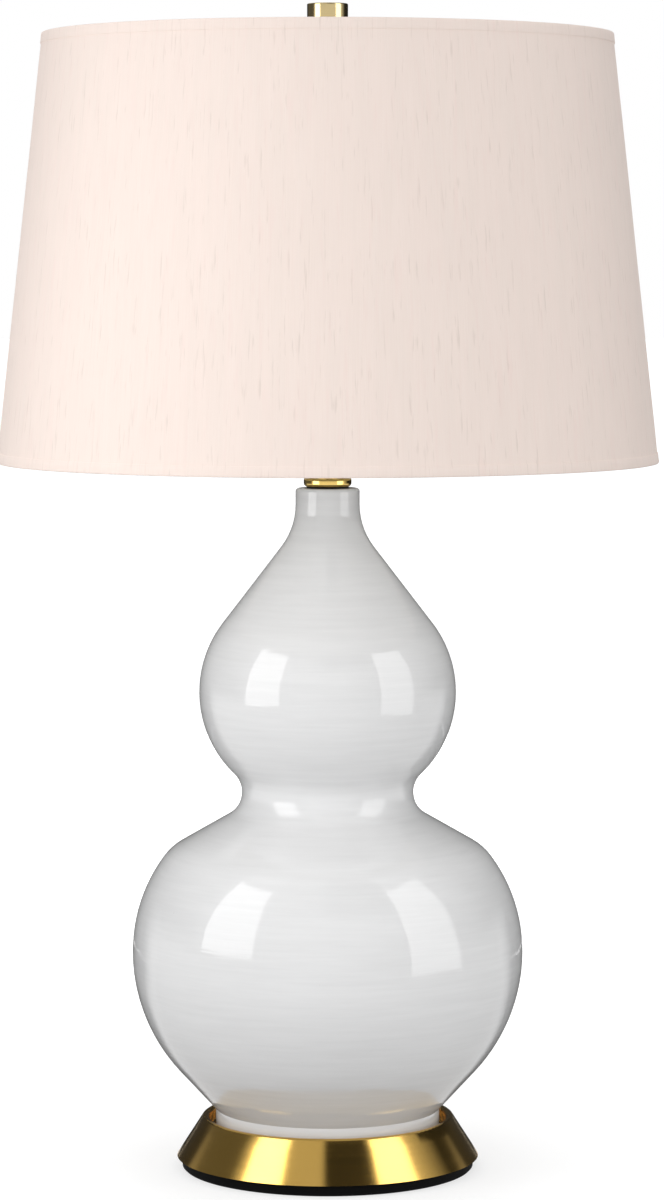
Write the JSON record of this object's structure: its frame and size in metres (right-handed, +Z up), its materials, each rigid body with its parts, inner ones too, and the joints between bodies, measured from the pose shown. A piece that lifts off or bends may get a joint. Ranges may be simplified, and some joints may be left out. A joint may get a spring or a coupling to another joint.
{
  "type": "double gourd table lamp",
  "caption": "Table lamp with a white ceramic double gourd body on a brass base, a harp and a tapered fabric drum shade held by a finial.",
  "frame": {"origin": "centre of the face the foot pad rests on", "axes": "+Z up along the lamp's pipe, -Y towards the viewer, +X to the right"},
  "size_m": [0.4064, 0.4063, 0.7174],
  "materials": {
    "black_rubber": "matt black",
    "base_brass": "satin spun brass, lacquered",
    "cast_iron": "as cast, painted dark",
    "bushing": "black",
    "zinc_steel": "zinc plated",
    "gasket_rubber": "black sheet rubber",
    "white_glaze": "glossy white glaze",
    "polished_brass": "polished brass",
    "harp_finish": "brass plated steel",
    "paper_sleeve": "varnished paper",
    "phenolic": "black moulding",
    "socket_aluminium": "bright",
    "contact_brass": "bright",
    "knob_plastic": "black",
    "bulb_black_glass": "black glass insulator",
    "frosted_glass": "frosted white",
    "shade_cloth": "pale blush slub weave",
    "shade_liner": "white liner",
    "shade_wire": "white enamelled wire"
  },
  "bodies": {
    "root": {"foot_pad": "black_rubber", "base_shell": "base_brass", "base_weight": "cast_iron", "cord_bushing": "bushing", "base_washer": "zinc_steel", "base_lock_washer": "zinc_steel", "base_nut": "zinc_steel", "lamp_pipe": "zinc_steel", "foot_gasket": "gasket_rubber", "gourd_body": "white_glaze", "neck_gasket": "gasket_rubber", "vase_cap": "polished_brass", "neck_spacer": "polished_brass", "harp_saddle": "harp_finish", "check_ring": "zinc_steel", "saddle_nut": "zinc_steel", "socket_cap": "polished_brass", "socket_set_screw": "zinc_steel", "socket_shell": "polished_brass", "insulating_sleeve": "paper_sleeve", "socket_interior": "phenolic", "screw_shell": "socket_aluminium", "centre_contact": "contact_brass", "terminal_screw_line": "polished_brass", "terminal_screw_neutral": "zinc_steel"},
    "switch": {"switch_shaft": "contact_brass", "switch_knob": "knob_plastic"},
    "bulb": {"bulb_contact": "contact_brass", "bulb_insulator": "bulb_black_glass", "bulb_screw_cap": "socket_aluminium", "bulb_glass": "frosted_glass"},
    "harp": {"harp_wire": "harp_finish"},
    "right_ferrule": {"ferrule_right": "polished_brass"},
    "left_ferrule": {"ferrule_left": "polished_brass"},
    "stud": {"harp_stud": "polished_brass"},
    "shade": {"shade_fabric": "shade_cloth", "shade_lining": "shade_liner", "shade_top_ring": "shade_wire", "shade_bottom_ring": "shade_wire", "shade_top_hem": "shade_cloth", "shade_bottom_hem": "shade_cloth", "spider_hub": "shade_wire", "spider_arm_1": "shade_wire", "spider_arm_2": "shade_wire", "spider_arm_3": "shade_wire"},
    "finial": {"finial": "polished_brass"}
  },
  "joints": [
    {"name": "switch_turn", "type": "hinge", "parent": "root", "child": "switch", "pos_m": [0, -0.0354, 0.4737], "axis": [0, -1, 0], "continuous": true},
    {"name": "bulb_lift", "type": "slide", "parent": "root", "child": "bulb", "axis": [0, 0, 1], "range_m": [0, 0.035]},
    {"name": "harp_lift", "type": "slide", "parent": "root", "child": "harp", "axis": [0, 0, 1], "range_m": [0, 0.03]},
    {"name": "right_ferrule_lift", "type": "slide", "parent": "harp", "child": "right_ferrule", "axis": [0, 0, 1], "range_m": [0, 0.013]},
    {"name": "left_ferrule_lift", "type": "slide", "parent": "harp", "child": "left_ferrule", "axis": [0, 0, 1], "range_m": [0, 0.013]},
    {"name": "shade_swivel", "type": "hinge", "parent": "harp", "child": "stud", "pos_m": [0, 0, 0.6826], "axis": [0, 0, 1], "continuous": true},
    {"name": "shade_lift", "type": "slide", "parent": "stud", "child": "shade", "axis": [0, 0, 1], "range_m": [0, 0.3]},
    {"name": "finial_lift", "type": "slide", "parent": "shade", "child": "finial", "axis": [0, 0, 1], "range_m": [0, 0.02]}
  ]
}
